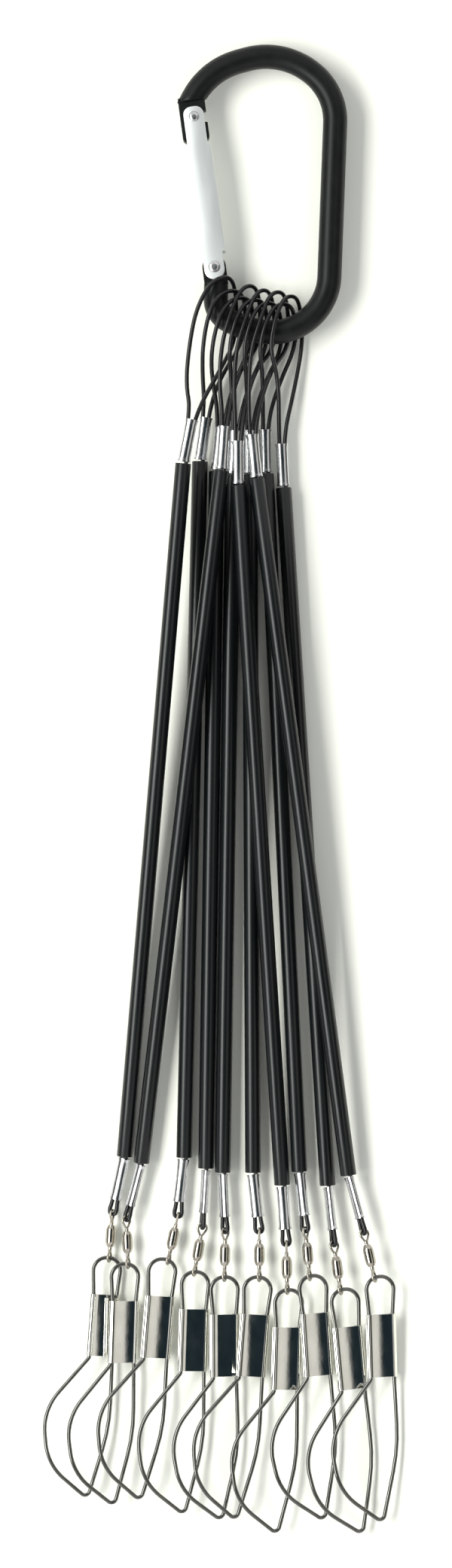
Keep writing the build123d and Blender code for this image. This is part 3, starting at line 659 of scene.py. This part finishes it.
def makeSnap(number, places):
    leg, top = snap["legHalf"], snap["loopHalf"]
    flat = [(-leg, -snap["start"]), (-leg, -snap["neck"]), (-top, 0), (top, 0),
            (leg, -snap["neck"]), (leg, -snap["corner"] - snap["spineDrop"]), snap["spineEnd"],
            snap["tip"], snap["bowLow"], snap["bowHigh"], (-leg, -snap["corner"]),
            (-leg, -snap["back"])]
    bends = [snap["neckBend"], snap["loopBend"], snap["loopBend"], snap["neckBend"],
             snap["spineBend"], snap["spineBend"], snap["tipBend"], snap["bowBend"],
             snap["bowBend"], snap["tipBend"]]
    bm = bentWire([(x, 0, z) for x, z in flat], bends, snap["wireRadius"], snap["sides"],
                  snap["arcStep"])
    moveTo(bm, places["snap"])
    body, nodes = "snap_" + number, ["snap_" + number]
    pieceOf("snapWire" + number, bm, wireStainless, body, nodes)
    pieceOf("snapEye" + number, eyeOf(places["lowerEye"]), nickelBright, body, nodes,
            sharp=50)


# Clasps: a sheet rolled round both legs, open at the back.
# The panel's columns are in shares of the way from the middle to a leg.

clasp = dict(top=0.0122, length=0.0205, rows=8, sheet=0.00045, roll=0.000925, curlSteps=12,
             lip=0.0012, crease=0.0002, creaseWide=0.14, rim=0.00008, rimAngle=60,
             panel=(-0.92, -0.84, -0.6, -0.4, -0.2, 0, 0.2, 0.4, 0.6, 0.84, 0.92, 1))

# how far each clasp's face is dished, tilted, and more dished towards one end
claspDish = {
    "01": dict(sag=0.00013, tilt=0.0, fall=-0.8), "02": dict(sag=0.00014, tilt=0.045, fall=0.0),
    "03": dict(sag=0.00014, tilt=0.023, fall=0.3), "04": dict(sag=0.00002, tilt=-0.03, fall=0.0),
    "05": dict(sag=0.00002, tilt=-0.03, fall=0.0), "06": dict(sag=0.00014, tilt=-0.03, fall=-0.8),
    "07": dict(sag=0.00014, tilt=-0.004, fall=-0.2), "08": dict(sag=0.00014, tilt=-0.002, fall=0.1),
    "09": dict(sag=0.00014, tilt=-0.023, fall=-0.3), "10": dict(sag=0.00014, tilt=-0.036, fall=0.2),
}


def dishFace(bm, dish):
    leg = snap["legHalf"]
    front = -0.99 * clasp["roll"]  # takes in the face, not the curls beside it
    for vert in bm.verts:
        if vert.co.y < front:
            share = vert.co.x / leg
            along = vert.co.z / clasp["length"] - 0.5
            hollow = dish["sag"] * (1 - share ** 2) * (1 + dish["fall"] * along)
            step = clasp["crease"] * min(1.0, (1 - abs(share)) / clasp["creaseWide"])
            vert.co.y += hollow + dish["tilt"] * vert.co.x + step


def makeClasp(number, places):
    roll, lip, leg = clasp["roll"], clasp["lip"], snap["legHalf"]
    bm = bmesh.new()
    tail = [bm.verts.new((-leg + lip, roll, 0))]

    def run(x, y):
        made = onlyVerts(bmesh.ops.extrude_vert_indiv(bm, verts=tail)["verts"])
        bmesh.ops.translate(bm, verts=made, vec=Vector((x, y, 0)) - made[0].co)
        tail[0] = made[0]

    def curl(x):
        spun = bmesh.ops.spin(bm, geom=tail, cent=(x, 0, 0), axis=(0, 0, 1), angle=math.pi,
                              steps=clasp["curlSteps"])
        tail[0] = onlyVerts(spun["geom_last"])[0]

    run(-leg, roll)
    curl(-leg)
    for share in clasp["panel"]:
        run(leg * share, -roll)
    curl(leg)
    run(leg - lip, roll)
    edges = list(bm.edges)
    for row in range(clasp["rows"]):
        edges = pullEdges(bm, edges, (0, 0, clasp["length"] / clasp["rows"]))
    dishFace(bm, claspDish[number])
    drop = Matrix.Translation((0, 0, -clasp["top"] - clasp["length"]))
    moveTo(bm, places["snap"] @ drop)
    bmesh.ops.recalc_face_normals(bm, faces=bm.faces)
    piece = pieceOf("snapClasp" + number, bm, claspPolished, "snap_" + number,
                    ["snap_" + number], sharp=60)
    wall = piece.modifiers.new("sheet", "SOLIDIFY")
    wall.thickness = clasp["sheet"]
    wall.offset = 0
    rim = piece.modifiers.new("rim", "BEVEL")
    rim.width = clasp["rim"]
    rim.segments = 2
    rim.limit_method = "ANGLE"
    rim.angle_limit = math.radians(clasp["rimAngle"])
    rim.harden_normals = True


# Where everything on a dropper goes, worked down from the tube's top

def downAt(lean, depthSlope=0.0):
    angle = math.radians(lean)
    return Vector((math.sin(angle), depthSlope, -math.cos(angle))).normalized()


def acrossAt(lean):
    angle = math.radians(lean)
    return Vector((math.cos(angle), 0, math.sin(angle)))


def snapPlace(layout, ring, swivelDown):
    # the swivel's ring grips the loop's top a little to one side, where the wire may have curved
    hang = swivel["eyeRadius"] - swivel["eyeWire"] - snap["wireRadius"] - swivel["play"]
    gripPoint = ring + swivelDown * hang
    turn = math.radians(snap["turn"])
    right = acrossAt(layout["snapLean"]) * math.cos(turn) + Vector((0, math.sin(turn), 0))
    up = -downAt(layout["snapLean"])
    bend = snap["loopBend"]
    loopFlat = snap["loopHalf"] - bend * math.tan(math.radians(snap["loopTurn"] / 2))
    pastFlat = max(0.0, abs(layout["grip"]) - loopFlat)
    rise = bend - math.sqrt(bend ** 2 - pastFlat ** 2)
    return placeAt(gripPoint - right * layout["grip"] + up * rise, right, up)


def strandPlaces(layout):
    # z runs down in each place, but up in the snap and the lower eye
    tubeTop = Vector(layout["tubeTop"])
    tubeDown = downAt(layout["tubeLean"], (layout["lowDepth"] - tubeTop.y) / tube["length"])
    tubeLow = tubeTop + tubeDown * tube["length"]
    sleeveRun = sleeve["gap"] + sleeve["length"]
    swivelRun = 2 * swivel["eyeReach"] + swivel["barrelLength"]
    chain = sleeveRun + eyeLoop["drop"] + swivelRun
    slope = (layout["gripDepth"] - layout["lowDepth"]) / chain
    upperDown = downAt(layout["topLean"])
    lowerDown = downAt(layout["lowLean"], slope)
    swivelDown = downAt(layout["swivelLean"], slope)
    swivelAcross = acrossAt(layout["swivelLean"])
    places = {"tube": placeAt(tubeTop, acrossAt(layout["tubeLean"]), tubeDown)}
    mouth = tubeTop - upperDown * sleeveRun
    places["upperSleeve"] = placeAt(mouth, acrossAt(layout["topLean"]), upperDown)
    lower = placeAt(tubeLow + lowerDown * sleeve["gap"], acrossAt(layout["lowLean"]), lowerDown)
    lower = lower @ Matrix.Rotation(math.radians(layout["eyeTurn"]), 4, "Z")
    places["lowerSleeve"] = lower
    eyeLow = lower @ Vector((0, 0, sleeve["length"] + eyeLoop["drop"]))
    hang = swivel["eyeRadius"] - swivel["eyeWire"] - cord["radius"] - swivel["play"]
    ring = eyeLow + swivelDown * hang
    places["upperEye"] = placeAt(ring, swivelDown.cross(lower.col[0].xyz), swivelDown)
    barrel = ring + swivelDown * swivel["eyeReach"]
    places["barrel"] = placeAt(barrel, swivelAcross, swivelDown)
    ring = barrel + swivelDown * (swivel["barrelLength"] + swivel["eyeReach"])
    twist = math.radians(swivel["eyeTwist"])
    eyeAside = swivelAcross * math.sin(twist) + Vector((0, math.cos(twist), 0))
    places["lowerEye"] = placeAt(ring, eyeAside, -swivelDown)
    places["snap"] = snapPlace(layout, ring, swivelDown)
    return places


for number, layout in droppers.items():
    places = strandPlaces(layout)
    makeCord(number, places)
    makeTube(number, places)
    makeCrimps(number, places)
    makeSwivel(number, places)
    makeSnap(number, places)
    makeClasp(number, places)
print("droppers made:", len(droppers))


# Stage: a white sheet just behind the stringer, which twists low down to follow the snaps

sheet = dict(middle=(-0.0154, 0, -0.2355), wide=0.30, tall=0.90, cells=90, topDepth=0.0085,
             leftX=-0.05, leftDepth=0.0145, fanSlope=-0.30, fanLimit=-0.12, fanStart=-0.12,
             fanEnd=-0.44, color=(0.90, 0.92, 0.855), roughness=0.9)


def sheetFinish():
    # white in front, clear from behind
    material = bpy.data.materials.new("sheetWhite")
    material.use_nodes = True
    tree = material.node_tree
    shader = tree.nodes["Principled BSDF"]
    shader.inputs["Base Color"].default_value = (*sheet["color"], 1)
    shader.inputs["Roughness"].default_value = sheet["roughness"]
    shader.inputs["Specular IOR Level"].default_value = 0.0
    clear = tree.nodes.new("ShaderNodeBsdfTransparent")
    side = tree.nodes.new("ShaderNodeNewGeometry")
    mix = tree.nodes.new("ShaderNodeMixShader")
    tree.links.new(side.outputs["Backfacing"], mix.inputs[0])
    tree.links.new(shader.outputs["BSDF"], mix.inputs[1])
    tree.links.new(clear.outputs["BSDF"], mix.inputs[2])
    tree.links.new(mix.outputs["Shader"], tree.nodes["Material Output"].inputs["Surface"])
    return material


def stagePiece(name, bm, material):
    mesh = bpy.data.meshes.new(name)
    bm.to_mesh(mesh)
    bm.free()
    mesh.materials.append(material)
    piece = bpy.data.objects.new(name, mesh)
    bpy.context.scene.collection.objects.link(piece)
    return piece


def makeSheet():
    bm = bmesh.new()
    upright = placeAt(sheet["middle"], (1, 0, 0), (0, -1, 0))
    spread = Matrix.Diagonal((sheet["wide"], sheet["tall"], 1, 1))
    bmesh.ops.create_grid(bm, x_segments=sheet["cells"], y_segments=sheet["cells"], size=0.5,
                          matrix=upright @ spread)
    for vert in bm.verts:
        share = (sheet["fanStart"] - vert.co.z) / (sheet["fanStart"] - sheet["fanEnd"])
        share = min(1.0, max(0.0, share))
        fanX = max(sheet["fanLimit"], vert.co.x)
        fan = sheet["leftDepth"] + sheet["fanSlope"] * (fanX - sheet["leftX"])
        vert.co.y = sheet["topDepth"] * (1 - share) + fan * share
    piece = stagePiece("whiteSheet", bm, sheetFinish())
    piece.data.shade_smooth()


# Room: half a drum round the front, seen only in reflections: what the bright metal mirrors.
# Bearings are in degrees from straight ahead, to the right.

room = dict(radius=1.2, half=math.radians(88), heights=(-1.0, 0.35), steps=64, peak=9.0, shades=[
    (-86, (0.06, 0.06, 0.06)), (-64, (0.14, 0.14, 0.13)), (-56, (0.80, 0.80, 0.77)),
    (-44, (8.6, 9.0, 8.6)), (-36, (8.6, 9.0, 8.6)), (-24, (0.80, 0.80, 0.77)),
    (-18, (0.80, 0.80, 0.77)), (-9, (0.022, 0.034, 0.042)), (23, (0.014, 0.025, 0.032)),
    (26, (0.86, 0.85, 0.80)), (42, (0.80, 0.79, 0.74)), (56, (0.10, 0.10, 0.09)),
    (86, (0.04, 0.04, 0.04))])


def roomFinish():
    material = bpy.data.materials.new("roomShades")
    material.use_nodes = True
    tree = material.node_tree
    coords = tree.nodes.new("ShaderNodeTexCoord")
    compass = tree.nodes.new("ShaderNodeTexGradient")
    compass.gradient_type = "RADIAL"
    shades = tree.nodes.new("ShaderNodeValToRGB")
    shades.color_ramp.interpolation = "EASE"
    stops = shades.color_ramp.elements
    while len(stops) < len(room["shades"]):
        stops.new(1.0)
    ahead = 0.25  # what the radial gradient reads straight ahead
    for stop, (bearing, color) in zip(stops, room["shades"]):
        stop.position = ahead + bearing / 360
        stop.color = (*(Vector(color) / room["peak"]), 1)
    glow = tree.nodes.new("ShaderNodeEmission")
    glow.inputs["Strength"].default_value = room["peak"]
    tree.links.new(coords.outputs["Object"], compass.inputs["Vector"])
    tree.links.new(compass.outputs["Fac"], shades.inputs["Fac"])
    tree.links.new(shades.outputs["Color"], glow.inputs["Color"])
    tree.links.new(glow.outputs["Emission"], tree.nodes["Material Output"].inputs["Surface"])
    return material


def makeRoom():
    bm = bmesh.new()
    edge = [bm.verts.new((0, -room["radius"], height)) for height in room["heights"]]
    rim = [bm.edges.new(edge)]
    bmesh.ops.rotate(bm, verts=edge, cent=(0, 0, 0), matrix=Matrix.Rotation(-room["half"], 3, "Z"))
    bmesh.ops.spin(bm, geom=edge + rim, cent=(0, 0, 0), axis=(0, 0, 1), angle=2 * room["half"],
                   steps=room["steps"])
    drum = stagePiece("mirrorRoom", bm, roomFinish())
    drum.visible_camera = False
    drum.visible_diffuse = False
    drum.visible_shadow = False
    drum.visible_transmission = False


# Light, background and camera

lamps = dict(
    key=dict(spot=(-1.05, -1.25, -0.10), wide=0.6, tall=1.3, power=31, color=(1.0, 0.995, 0.95)),
    fill=dict(spot=(0.9, -1.5, -0.9), wide=1.2, tall=1.2, power=8, color=(0.96, 0.98, 1.0)),
)
lampAim = (-0.0154, 0, -0.25)


def makeLamps():
    for name, lamp in lamps.items():
        data = bpy.data.lights.new(name + "Lamp", "AREA")
        data.shape = "RECTANGLE"
        data.size = lamp["wide"]
        data.size_y = lamp["tall"]
        data.energy = lamp["power"]
        data.color = lamp["color"]
        light = bpy.data.objects.new(name + "Lamp", data)
        light.location = lamp["spot"]
        towards = Vector(lampAim) - Vector(lamp["spot"])
        light.rotation_euler = towards.to_track_quat("-Z", "Y").to_euler()
        light.visible_glossy = False  # the drum is what shows in reflections
        bpy.context.scene.collection.objects.link(light)


ambient = dict(level=0.48, shown=1.0, color=(1.0, 1.0, 1.0))


def makeWorld():
    # plain white where it is seen or mirrored, dimmer as a light
    world = bpy.data.worlds.new("studio")
    world.use_nodes = True
    bpy.context.scene.world = world
    tree = world.node_tree
    sky = tree.nodes["Background"]
    sky.inputs["Color"].default_value = (*ambient["color"], 1)
    rays = tree.nodes.new("ShaderNodeLightPath")
    level = tree.nodes.new("ShaderNodeMapRange")
    level.inputs["To Min"].default_value = ambient["level"]
    level.inputs["To Max"].default_value = ambient["shown"]
    seen = rays.outputs["Is Camera Ray"]
    for kind in ("Is Glossy Ray", "Is Transmission Ray"):
        either = tree.nodes.new("ShaderNodeMath")
        either.operation = "MAXIMUM"
        tree.links.new(seen, either.inputs[0])
        tree.links.new(rays.outputs[kind], either.inputs[1])
        seen = either.outputs["Value"]
    tree.links.new(seen, level.inputs["Value"])
    tree.links.new(level.outputs["Result"], sky.inputs["Strength"])


camera = dict(spot=(-0.0154, -1.5, -0.2355), fieldHeight=0.5166, sensor=36)


def makeCamera():
    data = bpy.data.cameras.new("photoCamera")
    data.sensor_width = camera["sensor"]
    data.lens = camera["sensor"] * -camera["spot"][1] / camera["fieldHeight"]
    view = bpy.data.objects.new("photoCamera", data)
    view.location = camera["spot"]
    view.rotation_euler = (math.pi / 2, 0, 0)
    bpy.context.scene.collection.objects.link(view)
    bpy.context.scene.camera = view


makeSheet()
makeRoom()
makeLamps()
makeWorld()
makeCamera()
bpy.context.scene.view_settings.view_transform = "Standard"
print("stage made")
